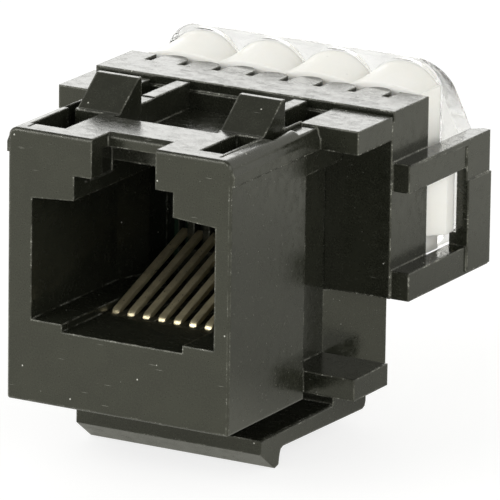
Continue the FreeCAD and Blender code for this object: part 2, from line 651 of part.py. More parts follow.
def make_contact_carrier():
    """Insert with a groove under each contact and a slotted wall behind their tips."""
    half = CARRIER_WIDTH / 2
    low = PORT_OFFSET - half
    high = PORT_OFFSET + half
    top = recess_floor_z - CARRIER_CLEARANCE
    base = block(low, high, CARRIER_FRONT_Y, carrier_back_y, CARRIER_BOTTOM_Z, top)
    recess_half = FLOOR_RECESS_WIDTH / 2 - CARRIER_CLEARANCE
    riser_front = carrier_back_y - CARRIER_WALL_THICKNESS
    riser = block(PORT_OFFSET - recess_half, PORT_OFFSET + recess_half, riser_front, carrier_back_y,
                  top - WALL, CARRIER_WALL_TOP_Z)
    reach = CONTACT_WIDTH / 2 + CARRIER_SLOT_CLEARANCE
    tip_z = contact_tip_z()
    cuts = []
    for x in contact_places:
        cuts.append(block(x - reach, x + reach, CARRIER_FRONT_Y + WALL / 2, carrier_back_y + 1,
                          contact_bottom_z, top + CARRIER_CLEARANCE))
        cuts.append(block(x - reach, x + reach, riser_front - 1, carrier_back_y + 1,
                          tip_z - CONTACT_PITCH, tip_z + 2 * CONTACT_PITCH))
    return base.fuse(riser).cut(cuts).removeSplitter()


def contact_start():
    """Point where a contact's slope leaves its front bend, on the wire's middle line."""
    angle = math.radians(CONTACT_ANGLE)
    return (CONTACT_BEND_Y - CONTACT_BEND_RADIUS * math.sin(angle),
            CONTACT_RUN_Z + CONTACT_BEND_RADIUS + CONTACT_BEND_RADIUS * math.cos(angle))


def contact_tip_y():
    return BODY_LENGTH - CONTACT_TIP_GAP


def contact_tip_z():
    y, z = contact_start()
    return z + (contact_tip_y() - y) * math.tan(math.radians(CONTACT_ANGLE))


def make_contact(number):
    """Flat spring wire: tail in the board, run under the port, front bend, slope to its tip."""
    half = CONTACT_THICKNESS / 2
    x0 = contact_places[number] - CONTACT_WIDTH / 2
    angle = math.radians(CONTACT_ANGLE)
    normal = (-math.sin(angle), math.cos(angle))
    centre_z = CONTACT_RUN_Z + CONTACT_BEND_RADIUS
    start_y, start_z = contact_start()
    tip_z = contact_tip_z()
    tail_end = board_back_y + CONTACT_TAIL_LENGTH
    drop = CONTACT_RUN_Z - tail_z(number)
    jog_start = BODY_LENGTH + half
    jog_end = board_front_y - WALL / 2

    def run_side(offset):
        """Run and tail, offset up or down from the middle line, from the bend to the end."""
        z = CONTACT_RUN_Z + offset
        if drop == 0:
            return [(CONTACT_BEND_Y, z), (tail_end, z)]
        lead = math.atan2(drop, jog_end - jog_start)
        shift = offset * math.tan(lead / 2)
        return [(CONTACT_BEND_Y, z), (jog_start + shift, z),
                (jog_end + shift, z - drop), (tail_end, z - drop)]

    def slope_side(offset):
        return [(start_y + offset * normal[0], start_z + offset * normal[1]),
                (contact_tip_y() + offset * normal[0], tip_z + offset * normal[1])]

    def bend(radius):
        """Arc about the bend's centre, from the run round the front to the slope."""
        first = -math.pi / 2
        last = angle - 3 * math.pi / 2
        turns = [first, (first + last) / 2, last]
        return Part.Arc(*[vec(x0, CONTACT_BEND_Y + radius * math.cos(t),
                              centre_z + radius * math.sin(t)) for t in turns]).toShape()

    def lines(points):
        places = [vec(x0, y, z) for y, z in points]
        return [Part.makeLine(a, b) for a, b in zip(places, places[1:])]

    outer_run = run_side(-half)
    inner_run = run_side(half)
    outer_slope = slope_side(half)
    inner_slope = slope_side(-half)
    edges = lines(list(reversed(outer_run))) + [bend(CONTACT_BEND_RADIUS + half)]
    edges += lines(outer_slope) + lines([outer_slope[-1], inner_slope[-1]])
    edges += lines(list(reversed(inner_slope))) + [bend(CONTACT_BEND_RADIUS - half)]
    edges += lines(inner_run) + lines([inner_run[-1], outer_run[-1]])
    wire = Part.Wire(Part.__sortEdges__(edges))
    return Part.Face(wire).extrude(vec(CONTACT_WIDTH, 0, 0))


def make_idc_contact(x):
    """Forked blade that cuts through a wire's insulation, with a pin in the board."""
    half = IDC_WIDTH / 2
    pin = IDC_PIN_WIDTH / 2
    gap = IDC_GAP / 2
    front = board_front_y
    seat = board_back_y
    neck = seat + IDC_SHOULDER
    right = [(pin, front), (pin, seat), (half, seat), (half, neck), (half, idc_back_y - IDC_POINT),
             (gap + IDC_POINT / 2, idc_back_y), (gap, idc_back_y - IDC_POINT / 2),
             (gap, idc_back_y - IDC_GAP_LENGTH)]
    left = [(-a, b) for a, b in reversed(right)]
    z = idc_z - IDC_THICKNESS / 2
    return prism([vec(x + a, b, z) for a, b in right + left], vec(0, 0, IDC_THICKNESS))


def hump_outline(centre, y, rise):
    """Arched outline across one wire pair, with its foot inside the guide."""
    half = HUMP_PITCH / 2
    foot = hump_foot_z
    low = foot - WALL
    edge = Part.Arc(vec(centre + half, y, foot), vec(centre, y, foot + rise),
                    vec(centre - half, y, foot)).toShape()
    sides = Part.makePolygon([vec(centre - half, y, foot), vec(centre - half, y, low),
                              vec(centre + half, y, low), vec(centre + half, y, foot)])
    return Part.Wire([edge] + sides.Edges)


def hump_row(y0, rise0, y1, rise1):
    """Row of arches that rise from rise0 at y0 to rise1 at y1."""
    return [Part.makeLoft([hump_outline(x, y0, rise0), hump_outline(x, y1, rise1)], True, True)
            for x in hump_places]


def make_tab():
    """Side tab of the guide: a ramp in front and a flat land behind."""
    wall = GUIDE_WIDTH / 2
    start = comb_back_y + GUIDE_CLEARANCE
    back = loop_post_y - TAB_CLEARANCE
    return plan_prism([(wall - WALL, start), (wall, start), (TAB_OUTER_X, back - TAB_LAND),
                       (TAB_OUTER_X, back), (wall - WALL, back)], TAB_BOTTOM_Z, TAB_TOP_Z)


def make_wire_guide():
    """White block with four arches on top, a slot for each blade and a groove for each wire."""
    front_half = GUIDE_FRONT_WIDTH / 2
    half = GUIDE_WIDTH / 2
    step_y = guide_step_y
    body = block(-front_half, front_half, guide_front_y, step_y + WALL, GUIDE_BOTTOM_Z,
                 comb_bottom_z - GUIDE_CLEARANCE)
    rear = block(-half, half, step_y, guide_back_y, GUIDE_BOTTOM_Z, hump_foot_z)
    humps = hump_row(step_y, HUMP_FRONT_RISE, guide_back_y, HUMP_BACK_RISE)
    tab = make_tab()
    tabs = [tab, tab.mirror(vec(0, 0, 0), vec(1, 0, 0))]
    guide = body.multiFuse([rear] + humps + tabs)
    reach = IDC_WIDTH / 2 + GUIDE_SLOT_CLEARANCE
    rise = IDC_THICKNESS / 2 + GUIDE_SLOT_CLEARANCE
    cuts = []
    for x in slot_places:
        cuts.append(block(x - reach, x + reach, guide_front_y - 1, idc_back_y + GUIDE_CLEARANCE,
                          idc_z - rise, idc_z + rise))
        groove = WIRE_GROOVE_WIDTH / 2
        cuts.append(block(x - groove, x + groove, step_y - 1, step_y + WIRE_GROOVE_DEPTH,
                          idc_z - 2 * SLOT_PITCH, COMB_TOP_Z - WALL))
    return guide.cut(cuts).removeSplitter()


def cap_solid(inset, front):
    """Closed form of the cap, drawn in by inset, with a sloping back."""
    half = CAP_WIDTH / 2 - inset
    radius = CAP_CORNER_RADIUS - inset
    form = rounded_block(-half, half, front, cap_back_y - inset, CAP_BOTTOM_Z + inset,
                         cap_top_z - inset, radius / 2, radius)
    slope_top_y = guide_back_y + CAP_FLAT_LENGTH
    slope = math.atan2(cap_top_z - slope_bottom_z, cap_back_y - slope_top_y)
    back = inset / math.sin(slope)
    run = 1 / math.tan(slope)
    outline = [(slope_top_y - back - run, cap_top_z + 1), (cap_back_y - back, slope_bottom_z),
               (cap_back_y + 1, slope_bottom_z), (cap_back_y + 1, cap_top_z + 1)]
    return form.cut(side_prism(outline, -CAP_WIDTH, CAP_WIDTH))


def cap_arch(centre):
    """Arched opening of the cap's rim behind one hump of the guide, a little larger than it."""
    half = (HUMP_PITCH - CAP_ARCH_GAP) / 2
    top = hump_foot_z + HUMP_BACK_RISE + CAP_ARCH_RISE
    foot = hump_foot_z - CAP_ARCH_FOOT
    y = guide_back_y - 1
    arch = Part.Arc(vec(centre + half, y, hump_foot_z), vec(centre, y, top),
                    vec(centre - half, y, hump_foot_z)).toShape()
    sides = Part.makePolygon([vec(centre - half, y, hump_foot_z), vec(centre - half, y, foot),
                              vec(centre + half, y, foot), vec(centre + half, y, hump_foot_z)])
    return Part.Face(Part.Wire([arch] + sides.Edges)).extrude(vec(0, 1 + CAP_RIM_THICKNESS, 0))


def make_wire_cap():
    """Clear shell behind the guide, with a front rim that follows the humps."""
    shell = cap_solid(0, guide_back_y).cut(cap_solid(CAP_WALL, guide_back_y - 1))
    rim_depth = guide_back_y + CAP_RIM_THICKNESS
    rim_band = block(-CAP_WIDTH, CAP_WIDTH, guide_back_y, rim_depth,
                     hump_foot_z - CAP_ARCH_FOOT - WALL, cap_top_z + 1)
    rim = cap_solid(0, guide_back_y).common(rim_band)
    return shell.fuse(rim).cut([cap_arch(x) for x in hump_places]).removeSplitter()


def main():
    os.makedirs("parts", exist_ok=True)
    solids = {
        "jack_housing": make_jack_housing(),
        "rear_housing": make_rear_housing(),
        "contact_carrier": make_contact_carrier(),
        "circuit_board": make_circuit_board(),
        "wire_guide": make_wire_guide(),
        "wire_cap": make_wire_cap(),
    }
    for number in range(CONTACT_COUNT):
        solids["plug_contact_%d" % (number + 1)] = make_contact(number)
    for number, x in enumerate(slot_places):
        solids["wire_contact_%d" % (number + 1)] = make_idc_contact(x)
    for name, shape in solids.items():
        box = shape.BoundBox
        print("%-18s solids %d valid %s volume %8.2f  x %.2f %.2f  y %.2f %.2f  z %.2f %.2f"
              % (name, len(shape.Solids), shape.isValid(), shape.Volume,
                 box.XMin, box.XMax, box.YMin, box.YMax, box.ZMin, box.ZMax))
        shape.exportStep("parts/%s.step" % name)


main()
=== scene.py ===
import json
import math

import bpy
import numpy as np
from mathutils import Matrix, Vector

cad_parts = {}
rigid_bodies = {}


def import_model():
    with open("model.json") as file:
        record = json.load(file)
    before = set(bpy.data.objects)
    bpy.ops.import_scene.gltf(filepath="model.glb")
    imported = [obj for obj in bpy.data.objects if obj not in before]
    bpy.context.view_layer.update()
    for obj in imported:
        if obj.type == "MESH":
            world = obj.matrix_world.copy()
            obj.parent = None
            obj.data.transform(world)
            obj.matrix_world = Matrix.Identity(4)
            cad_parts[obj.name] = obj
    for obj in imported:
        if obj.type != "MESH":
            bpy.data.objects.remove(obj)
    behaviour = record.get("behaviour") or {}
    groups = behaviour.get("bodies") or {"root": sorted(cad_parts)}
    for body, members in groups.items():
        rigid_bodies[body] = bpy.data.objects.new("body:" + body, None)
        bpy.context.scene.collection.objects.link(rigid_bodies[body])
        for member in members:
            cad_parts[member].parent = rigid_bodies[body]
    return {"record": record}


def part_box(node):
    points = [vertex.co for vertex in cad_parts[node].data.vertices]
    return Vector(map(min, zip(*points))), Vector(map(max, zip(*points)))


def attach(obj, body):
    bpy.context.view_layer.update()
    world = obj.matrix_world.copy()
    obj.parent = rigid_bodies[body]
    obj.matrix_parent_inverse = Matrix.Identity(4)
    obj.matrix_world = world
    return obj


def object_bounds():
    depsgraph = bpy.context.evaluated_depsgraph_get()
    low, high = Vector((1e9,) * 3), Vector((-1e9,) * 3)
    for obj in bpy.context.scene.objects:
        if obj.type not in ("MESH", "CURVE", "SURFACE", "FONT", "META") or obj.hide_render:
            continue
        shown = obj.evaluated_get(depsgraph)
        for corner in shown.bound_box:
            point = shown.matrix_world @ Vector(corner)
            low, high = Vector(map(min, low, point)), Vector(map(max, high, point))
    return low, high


MM = 0.001

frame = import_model()
cad_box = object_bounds()


# ---------------------------------------------------------------- node helpers

def link(tree, source, target):
    """Link from an output socket to an input socket."""
    tree.links.new(source, target)


def feed(tree, socket, value):
    """Socket's plain value, or its link when the value is a socket itself."""
    if isinstance(value, bpy.types.NodeSocket):
        link(tree, value, socket)
    else:
        socket.default_value = value


def node(tree, kind, inputs=None, **properties):
    """Node of one kind with its properties set; inputs gives values or links by socket."""
    made = tree.nodes.new(kind)
    for key, value in properties.items():
        setattr(made, key, value)
    for key, value in (inputs or {}).items():
        feed(tree, made.inputs[key], value)
    return made


def math_node(tree, operation, first, second=0.0, third=0.0, clamp=False):
    """Result of one sum on values or links."""
    made = node(tree, "ShaderNodeMath", operation=operation, use_clamp=clamp)
    for socket, value in zip(made.inputs, (first, second, third)):
        feed(tree, socket, value)
    return made.outputs[0]


def spread(tree, value, low, high, start=0.0, end=1.0):
    """Value mapped smoothly from low..high to start..end, and held outside it."""
    made = node(tree, "ShaderNodeMapRange",
                {"Value": value, "From Min": low, "From Max": high, "To Min": start,
                 "To Max": end}, interpolation_type="SMOOTHSTEP")
    return made.outputs["Result"]


def blend_colour(tree, factor, first, second):
    """First colour turned into the second by factor."""
    made = node(tree, "ShaderNodeMix", data_type="RGBA")
    # the colour sockets of this node come after its value and vector sockets
    for place, value in ((0, factor), (6, first), (7, second)):
        feed(tree, made.inputs[place], value)
    return made.outputs[2]


def layered(tree, colour, layers):
    """Colour under layers of (mask, share, tint): each tints it by mask times share."""
    for mask, share, tint in layers:
        colour = blend_colour(tree, math_node(tree, "MULTIPLY", mask, share), colour, tint)
    return colour


def coordinates_in_mm(tree, turn=(0.0, 0.0, 0.0), stretch=(1.0, 1.0, 1.0)):
    """Object coordinates in millimetres, turned by angles and stretched."""
    source = tree.nodes.new("ShaderNodeTexCoord")
    made = node(tree, "ShaderNodeMapping",
                {"Vector": source.outputs["Object"], "Rotation": turn,
                 "Scale": tuple(s / MM for s in stretch)})
    return made.outputs["Vector"]


def noise(tree, vector, scale, detail, roughness=0.5, distortion=0.0):
    """Smooth noise from 0 to 1."""
    made = node(tree, "ShaderNodeTexNoise",
                {"Vector": vector, "Scale": scale, "Detail": detail, "Roughness": roughness,
                 "Distortion": distortion})
    return made.outputs["Fac"]


def cell_spots(tree, vector, scale, edge, core, channel, share):
    """Mask of a spot round the middle of some cells: 0 from edge outwards, 1 inside core.
    A cell has its spot where one channel of its own colour is below share."""
    cells = node(tree, "ShaderNodeTexVoronoi", {"Vector": vector, "Scale": scale})
    near = spread(tree, cells.outputs["Distance"], edge, core)
    pick = node(tree, "ShaderNodeSeparateColor", {"Color": cells.outputs["Color"]})
    chosen = math_node(tree, "LESS_THAN", pick.outputs[channel], share)
    return math_node(tree, "MULTIPLY", near, chosen)


def relief(tree, height, normal, depth):
    """Normal of a relief that rises by depth where height rises by 1."""
    made = node(tree, "ShaderNodeBump",
                {"Height": height, "Normal": normal, "Strength": 1.0, "Distance": depth})
    return made.outputs["Normal"]


def new_group(name, inputs, outputs):
    """Empty node group; inputs gives each socket's kind and first value, outputs its kind."""
    group = bpy.data.node_groups.new(name, "ShaderNodeTree")
    for key, (kind, value) in inputs.items():
        socket = group.interface.new_socket(key, in_out="INPUT", socket_type=kind)
        if value is not None:
            socket.default_value = value
    for key, kind in outputs.items():
        group.interface.new_socket(key, in_out="OUTPUT", socket_type=kind)
    return group, group.nodes.new("NodeGroupInput"), group.nodes.new("NodeGroupOutput")


def use_group(tree, group, inputs):
    """Outputs of one use of a node group, with its own values."""
    made = tree.nodes.new("ShaderNodeGroup")
    made.node_tree = group
    for key, value in inputs.items():
        feed(tree, made.inputs[key], value)
    return made.outputs


def new_material(name):
    """Empty node material and its tree."""
    material = bpy.data.materials.new(name)
    material.use_nodes = True
    material.node_tree.nodes.clear()
    return material, material.node_tree


def principled(tree, colour, roughness, normal, **constants):
    """Principled shader on the material output; constants are set on its own sockets."""
    shader = node(tree, "ShaderNodeBsdfPrincipled",
                  {"Base Color": colour, "Roughness": roughness, "Normal": normal})
    for key, value in constants.items():
        shader.inputs[key.replace("_", " ")].default_value = value
    output = tree.nodes.new("ShaderNodeOutputMaterial")
    link(tree, shader.outputs["BSDF"], output.inputs["Surface"])


# ---------------------------------------------------------------- shared effects

FLOAT = "NodeSocketFloat"
VECTOR = "NodeSocketVector"


def moulded_grain_group():
    """Fine spark-eroded grain and a slow cloud, and both together as a height."""
    group, source, target = new_group(
        "moulded_grain",
        {"Vector": (VECTOR, None), "Grain Scale": (FLOAT, 8.5), "Cloud Scale": (FLOAT, 0.45)},
        {"Tone": FLOAT, "Cloud": FLOAT, "Height": FLOAT})
    vector = source.outputs["Vector"]
    grain = noise(group, vector, source.outputs["Grain Scale"], detail=3.0, roughness=0.62)
    cloud = noise(group, vector, source.outputs["Cloud Scale"], detail=4.0, roughness=0.55,
                  distortion=0.4)
    cloud_height = 1.5
    height = math_node(group, "MULTIPLY_ADD", cloud, cloud_height, grain)
    link(group, spread(group, grain, 0.3, 0.72), target.inputs["Tone"])
    link(group, spread(group, cloud, 0.35, 0.68), target.inputs["Cloud"])
    link(group, height, target.inputs["Height"])
    return group


def edge_round_group():
    """Normal of slightly rounded edges; a mask along them, for skin rubbed by wear and for
    painted edge highlights and painted edge shade; and a mask of small chips, also used as
    painted glints.
    """
    group, source, target = new_group(
        "edge_round",
        {"Vector": (VECTOR, None), "Radius": (FLOAT, 0.08 * MM), "Breakup": (FLOAT, 1.3)},
        {"Normal": VECTOR, "Mask": FLOAT, "Chips": FLOAT})
    vector = source.outputs["Vector"]
    rounded = node(group, "ShaderNodeBevel", {"Radius": source.outputs["Radius"]},
                   samples=6).outputs["Normal"]
    flat = group.nodes.new("ShaderNodeNewGeometry").outputs["Normal"]
    cosine = node(group, "ShaderNodeVectorMath", {0: rounded, 1: flat},
                  operation="DOT_PRODUCT").outputs["Value"]
    flat_cosine, edge_cosine = 0.995, 0.85
    edge = spread(group, cosine, flat_cosine, edge_cosine)
    patches = spread(group, noise(group, vector, source.outputs["Breakup"], detail=3.0),
                     0.36, 0.68)
    # edge mask: wear, and also painted edge highlight or painted edge shade in the materials
    # that colour with it
    edge_wear_and_painted_light = math_node(group, "MULTIPLY", edge, patches)
    nicks = spread(group, noise(group, vector, 6.5, detail=1.0), 0.58, 0.66)
    link(group, rounded, target.inputs["Normal"])
    link(group, edge_wear_and_painted_light, target.inputs["Mask"])
    link(group, math_node(group, "MULTIPLY", edge_wear_and_painted_light, nicks), target.inputs["Chips"])
    return group


def dust_group():
    """Mask of small round flecks, scattered through space and cut by the surface."""
    group, source, target = new_group(
        "dust_flecks",
        {"Vector": (VECTOR, None), "Spacing": (FLOAT, 1.6), "Size": (FLOAT, 0.1),
         "Share": (FLOAT, 0.15)},
        {"Mask": FLOAT})
    given = source.outputs
    core = math_node(group, "MULTIPLY", given["Size"], 0.5)
    flecks = cell_spots(group, given["Vector"], given["Spacing"], given["Size"], core, "Red",
                        given["Share"])
    link(group, flecks, target.inputs["Mask"])
    return group


def scratch_group():
    """Mask of short fine scratches: spots that a stretched vector draws out into lines."""
    group, source, target = new_group(
        "fine_scratches",
        {"Vector": (VECTOR, None), "Width": (FLOAT, 0.3), "Share": (FLOAT, 0.01)},
        {"Mask": FLOAT})
    given = source.outputs
    core = 0.05
    marks = cell_spots(group, given["Vector"], 1.0, given["Width"], core, "Green",
                       given["Share"])
    link(group, marks, target.inputs["Mask"])
    return group


moulded_grain = moulded_grain_group()
edge_round = edge_round_group()
dust_flecks = dust_group()
fine_scratches = scratch_group()

SCRATCH_TURNS = ((0.5, 0.9, 0.3), (1.2, 0.2, 2.0), (2.3, 1.5, 0.8))
SCRATCH_STRETCH = (0.9, 14.0, 14.0)
SCRATCH_SHARE = 0.006


def scratches_across(tree):
    """Scratches in three directions, as one mask."""
    masks = [use_group(tree, fine_scratches,
                       {"Vector": coordinates_in_mm(tree, turn, SCRATCH_STRETCH),
                        "Share": SCRATCH_SHARE})["Mask"] for turn in SCRATCH_TURNS]
    return math_node(tree, "MAXIMUM", math_node(tree, "MAXIMUM", masks[0], masks[1]), masks[2])


# ---------------------------------------------------------------- colours

BLACK_BASE = (0.0142, 0.0151, 0.0106)
CARRIER_BASE = (0.0165, 0.0170, 0.0120)
# pale edge colours: wear, and also painted edge highlights and painted glints along the edges
BLACK_WORN_AND_HIGHLIGHT = (0.26, 0.26, 0.22, 1.0)
BLACK_CHIPPED_AND_GLINT = (0.66, 0.66, 0.60, 1.0)
BLACK_SCRATCHED = (0.32, 0.32, 0.29, 1.0)
LINT = (0.30, 0.30, 0.27, 1.0)
DUST = (0.62, 0.62, 0.57, 1.0)
BLACK_SHEEN = (1.0, 1.0, 0.9, 1.0)

MILK_DARK = (0.93, 0.92, 0.88, 1.0)
MILK_PALE = (0.96, 0.95, 0.92, 1.0)
MILK_GRAIN = (0.89, 0.88, 0.83, 1.0)
MILK_DUST = (0.55, 0.54, 0.50, 1.0)

CLEAR_DARK = (0.850, 0.849, 0.832, 1.0)
CLEAR_PALE = (0.940, 0.939, 0.928, 1.0)
# painted shade: grey laid along the cap's edges where the rims refract dark
CLEAR_PAINTED_EDGE_SHADE = (0.70, 0.70, 0.685, 1.0)
CLEAR_MARKED = (0.78, 0.78, 0.77, 1.0)

GOLD_BRIGHT = (0.88, 0.78, 0.51, 1.0)
GOLD_DULL = (0.64, 0.56, 0.36, 1.0)
TIN_BRIGHT = (0.78, 0.78, 0.76, 1.0)
TIN_DULL = (0.58, 0.58, 0.55, 1.0)

LACQUER_DARK = (0.006, 0.026, 0.012, 1.0)
LACQUER_PALE = (0.009, 0.036, 0.017, 1.0)
LACQUER_CLOUD = (0.014, 0.048, 0.022, 1.0)


def shaded(base, factor):
    """Opaque colour of base times factor."""
    return tuple(factor * c for c in base) + (1.0,)


# ---------------------------------------------------------------- finishes

def black_plastic(name, base, gloss, rough, grain_depth):
    """Moulded black plastic: grain, smears of sheen, dust, lint, scratches, and edges with wear
    that also carry painted edge highlights and painted glints.
    """
    material, tree = new_material(name)
    vector = coordinates_in_mm(tree)
    grain = use_group(tree, moulded_grain, {"Vector": vector})
    edges = use_group(tree, edge_round, {"Vector": vector, "Radius": 0.17 * MM})
    dust = use_group(tree, dust_flecks, {"Vector": vector})["Mask"]
    lint = use_group(tree, dust_flecks, {"Vector": vector, "Spacing": 4.0, "Size": 0.16,
                                         "Share": 0.03})["Mask"]
    smear = noise(tree, coordinates_in_mm(tree, (0.2, 0.1, 0.5), (0.8, 1.3, 1.0)), 1.5,
                  detail=7.0, roughness=0.72)
    skin = blend_colour(tree, grain["Tone"], shaded(base, 0.75), shaded(base, 1.25))
    colour = layered(tree, skin, (
        (grain["Cloud"], 0.35, shaded(base, 1.7)),
        # pale edges and chips: wear, and also painted edge highlight and painted glints
        (edges["Mask"], 0.6, BLACK_WORN_AND_HIGHLIGHT),
        (edges["Chips"], 0.75, BLACK_CHIPPED_AND_GLINT),
        (scratches_across(tree), 0.5, BLACK_SCRATCHED),
        (lint, 0.45, LINT),
        (dust, 0.8, DUST)))
    roughness = math_node(tree, "ADD",
                          spread(tree, grain["Tone"], 0.0, 1.0, rough - 0.03, rough + 0.05),
                          spread(tree, smear, 0.35, 0.65, -0.03, 0.15))
    dust_roughness = 0.4
    roughness = math_node(tree, "MULTIPLY_ADD", dust, dust_roughness, roughness, clamp=True)
    normal = relief(tree, grain["Height"], edges["Normal"], grain_depth)
    principled(tree, colour, roughness, normal, Specular_IOR_Level=gloss,
               Specular_Tint=BLACK_SHEEN)
    return material


def white_plastic(name):
    """Milky white plastic with soft flow clouds, dust and rounded edges."""
    material, tree = new_material(name)
    vector = coordinates_in_mm(tree)
    grain = use_group(tree, moulded_grain, {"Vector": vector, "Grain Scale": 5.0,
                                            "Cloud Scale": 0.3})
    edges = use_group(tree, edge_round, {"Vector": vector, "Radius": 0.12 * MM})
    dust = use_group(tree, dust_flecks, {"Vector": vector, "Share": 0.08})["Mask"]
    milk = blend_colour(tree, grain["Cloud"], MILK_DARK, MILK_PALE)
    colour = layered(tree, milk, ((grain["Tone"], 0.15, MILK_GRAIN), (dust, 0.5, MILK_DUST)))
    roughness = spread(tree, grain["Tone"], 0.0, 1.0, 0.34, 0.46)
    normal = relief(tree, grain["Height"], edges["Normal"], 0.0015 * MM)
    principled(tree, colour, roughness, normal, Subsurface_Weight=0.12,
               Subsurface_Radius=(1.0, 0.9, 0.75), Subsurface_Scale=0.6 * MM)
    return material


def clear_plastic(name):
    """Clear cap plastic: a little grey, with ripples, specks, scratches, and grey lines painted
    along its edges as painted shade where the rims refract.
    """
    material, tree = new_material(name)
    vector = coordinates_in_mm(tree)
    grain = use_group(tree, moulded_grain, {"Vector": vector, "Grain Scale": 1.6,
                                            "Cloud Scale": 0.35})
    edges = use_group(tree, edge_round, {"Vector": vector, "Radius": 0.15 * MM})
    dust = use_group(tree, dust_flecks, {"Vector": vector, "Spacing": 1.3, "Size": 0.13,
                                         "Share": 0.3})["Mask"]
    marks = math_node(tree, "MAXIMUM", dust, scratches_across(tree))
    clouded = blend_colour(tree, grain["Cloud"], CLEAR_DARK, CLEAR_PALE)
    # grey along the edges is painted shade for the dark refraction at the rims
    colour = layered(tree, clouded, ((edges["Mask"], 0.6, CLEAR_PAINTED_EDGE_SHADE),
                                     (marks, 0.4, CLEAR_MARKED)))
    mark_roughness = 0.35
    roughness = math_node(tree, "MULTIPLY_ADD", marks, mark_roughness,
                          spread(tree, grain["Cloud"], 0.3, 1.0, 0.03, 0.09))
    normal = relief(tree, grain["Height"], edges["Normal"], 0.006 * MM)
    principled(tree, colour, roughness, normal, IOR=1.15, Transmission_Weight=1.0,
               Coat_Weight=0.8, Coat_IOR=1.5, Coat_Roughness=0.04)
    return material


def drawn_metal(name, bright, dull, rough, metallic, stretch):
    """Drawn or rolled metal: lines along its length, cloudy tarnish and soft edges."""
    material, tree = new_material(name)
    vector = coordinates_in_mm(tree)
    lines = noise(tree, coordinates_in_mm(tree, stretch=stretch), 1.0, detail=4.0,
                  roughness=0.6)
    grain = use_group(tree, moulded_grain, {"Vector": vector, "Grain Scale": 6.0,
                                            "Cloud Scale": 0.9})
    edges = use_group(tree, edge_round, {"Vector": vector, "Radius": 0.14 * MM})
    tarnish = blend_colour(tree, grain["Cloud"], bright, dull)
    colour = layered(tree, tarnish, ((spread(tree, lines, 0.4, 0.7), 0.35, dull),))
    roughness = spread(tree, lines, 0.3, 0.7, rough - 0.06, rough + 0.1)
    normal = relief(tree, lines, edges["Normal"], 0.0006 * MM)
    principled(tree, colour, roughness, normal, Metallic=metallic)
    return material


def solder_mask(name):
    """Dark board lacquer over a faint glass weave."""
    material, tree = new_material(name)
    vector = coordinates_in_mm(tree)
    grain = use_group(tree, moulded_grain, {"Vector": vector, "Grain Scale": 4.0})
    edges = use_group(tree, edge_round, {"Vector": vector, "Radius": 0.06 * MM})
    warp, weft = (node(tree, "ShaderNodeTexWave",
                       {"Vector": vector, "Scale": 1.6, "Distortion": 0.6, "Detail": 1.0},
                       bands_direction=way).outputs["Fac"] for way in "XZ")
    cloth = math_node(tree, "MULTIPLY", warp, weft)
    lacquer = blend_colour(tree, cloth, LACQUER_DARK, LACQUER_PALE)
    colour = layered(tree, lacquer, ((grain["Cloud"], 0.4, LACQUER_CLOUD),))
    roughness = spread(tree, grain["Tone"], 0.0, 1.0, 0.3, 0.42)
    principled(tree, colour, roughness, relief(tree, cloth, edges["Normal"], 0.004 * MM))
    return material


finishes = {
    "black_plastic": black_plastic("moulded_black", BLACK_BASE, gloss=0.5, rough=0.13,
                                   grain_depth=0.0031 * MM),
    "black_carrier": black_plastic("carrier_black", CARRIER_BASE, gloss=0.4, rough=0.26,
                                   grain_depth=0.002 * MM),
    "board_green": solder_mask("board_lacquer"),
    "white_plastic": white_plastic("guide_white"),
    "clear_plastic": clear_plastic("cap_clear"),
    "gold_wire": drawn_metal("spring_gold", GOLD_BRIGHT, GOLD_DULL, rough=0.33, metallic=0.75,
                             stretch=(10.0, 0.5, 10.0)),
    "tin_blade": drawn_metal("blade_tin", TIN_BRIGHT, TIN_DULL, rough=0.32, metallic=1.0,
                             stretch=(8.0, 0.6, 8.0)),
}
for part in frame["record"]["subparts"]:
    piece = bpy.data.objects[part["node"]]
    for slot in piece.material_slots:
        slot.material = finishes[part["material_slot"]]


# ---------------------------------------------------------------- solder joints

CONTACTS = 8
WIRE_HALF_THICKNESS = 0.15 * MM
SOLDER_FOOT_RADIUS = 0.46 * MM
SOLDER_TIP_RADIUS = 0.27 * MM
SOLDER_HEIGHT = 0.3 * MM


def solder_joint(centre, foot, tip, height, around=20, along=7):
    """Grid of points on a solder cone: its radius falls from foot to tip as a quarter of a
    hollow curve, foot - (foot - tip) * sin(angle), while it rises height * (1 - cos(angle))
    along Y, for angle from 0 to 90 degrees, and one last ring closes it over the pin."""
    angle = np.linspace(0.0, math.pi / 2, along)
    radius = np.append(foot - (foot - tip) * np.sin(angle), 0.0)
    rise = np.append(height * (1.0 - np.cos(angle)), height)
    turn = np.linspace(0.0, 2 * math.pi, around, endpoint=False)
    x = centre[0] + radius[:, None] * np.cos(turn)[None, :]
    z = centre[2] + radius[:, None] * np.sin(turn)[None, :]
    y = np.broadcast_to((centre[1] + rise)[:, None], x.shape)
    return np.stack((x, y, z), axis=2)


def mesh_from_tubes(name, tubes):
    """One smooth mesh from grids of points whose second direction closes on itself."""
    vertices = []
    faces = []
    start = 0
    for grid in tubes:
        rows, columns = grid.shape[:2]
        index = start + np.arange(rows * columns).reshape(rows, columns)
        ahead = np.roll(index, -1, axis=1)
        quads = np.stack((index[:-1], ahead[:-1], ahead[1:], index[1:]), axis=2)
        faces.append(quads.reshape(-1, 4))
        vertices.append(grid.reshape(-1, 3))
        start += rows * columns
    mesh = bpy.data.meshes.new(name)
    mesh.from_pydata(np.concatenate(vertices).tolist(), [], np.concatenate(faces).tolist())
    mesh.polygons.foreach_set("use_smooth", np.ones(len(mesh.polygons), dtype=bool))
    mesh.update()
    piece = bpy.data.objects.new(name, mesh)
    bpy.context.collection.objects.link(piece)
    return piece


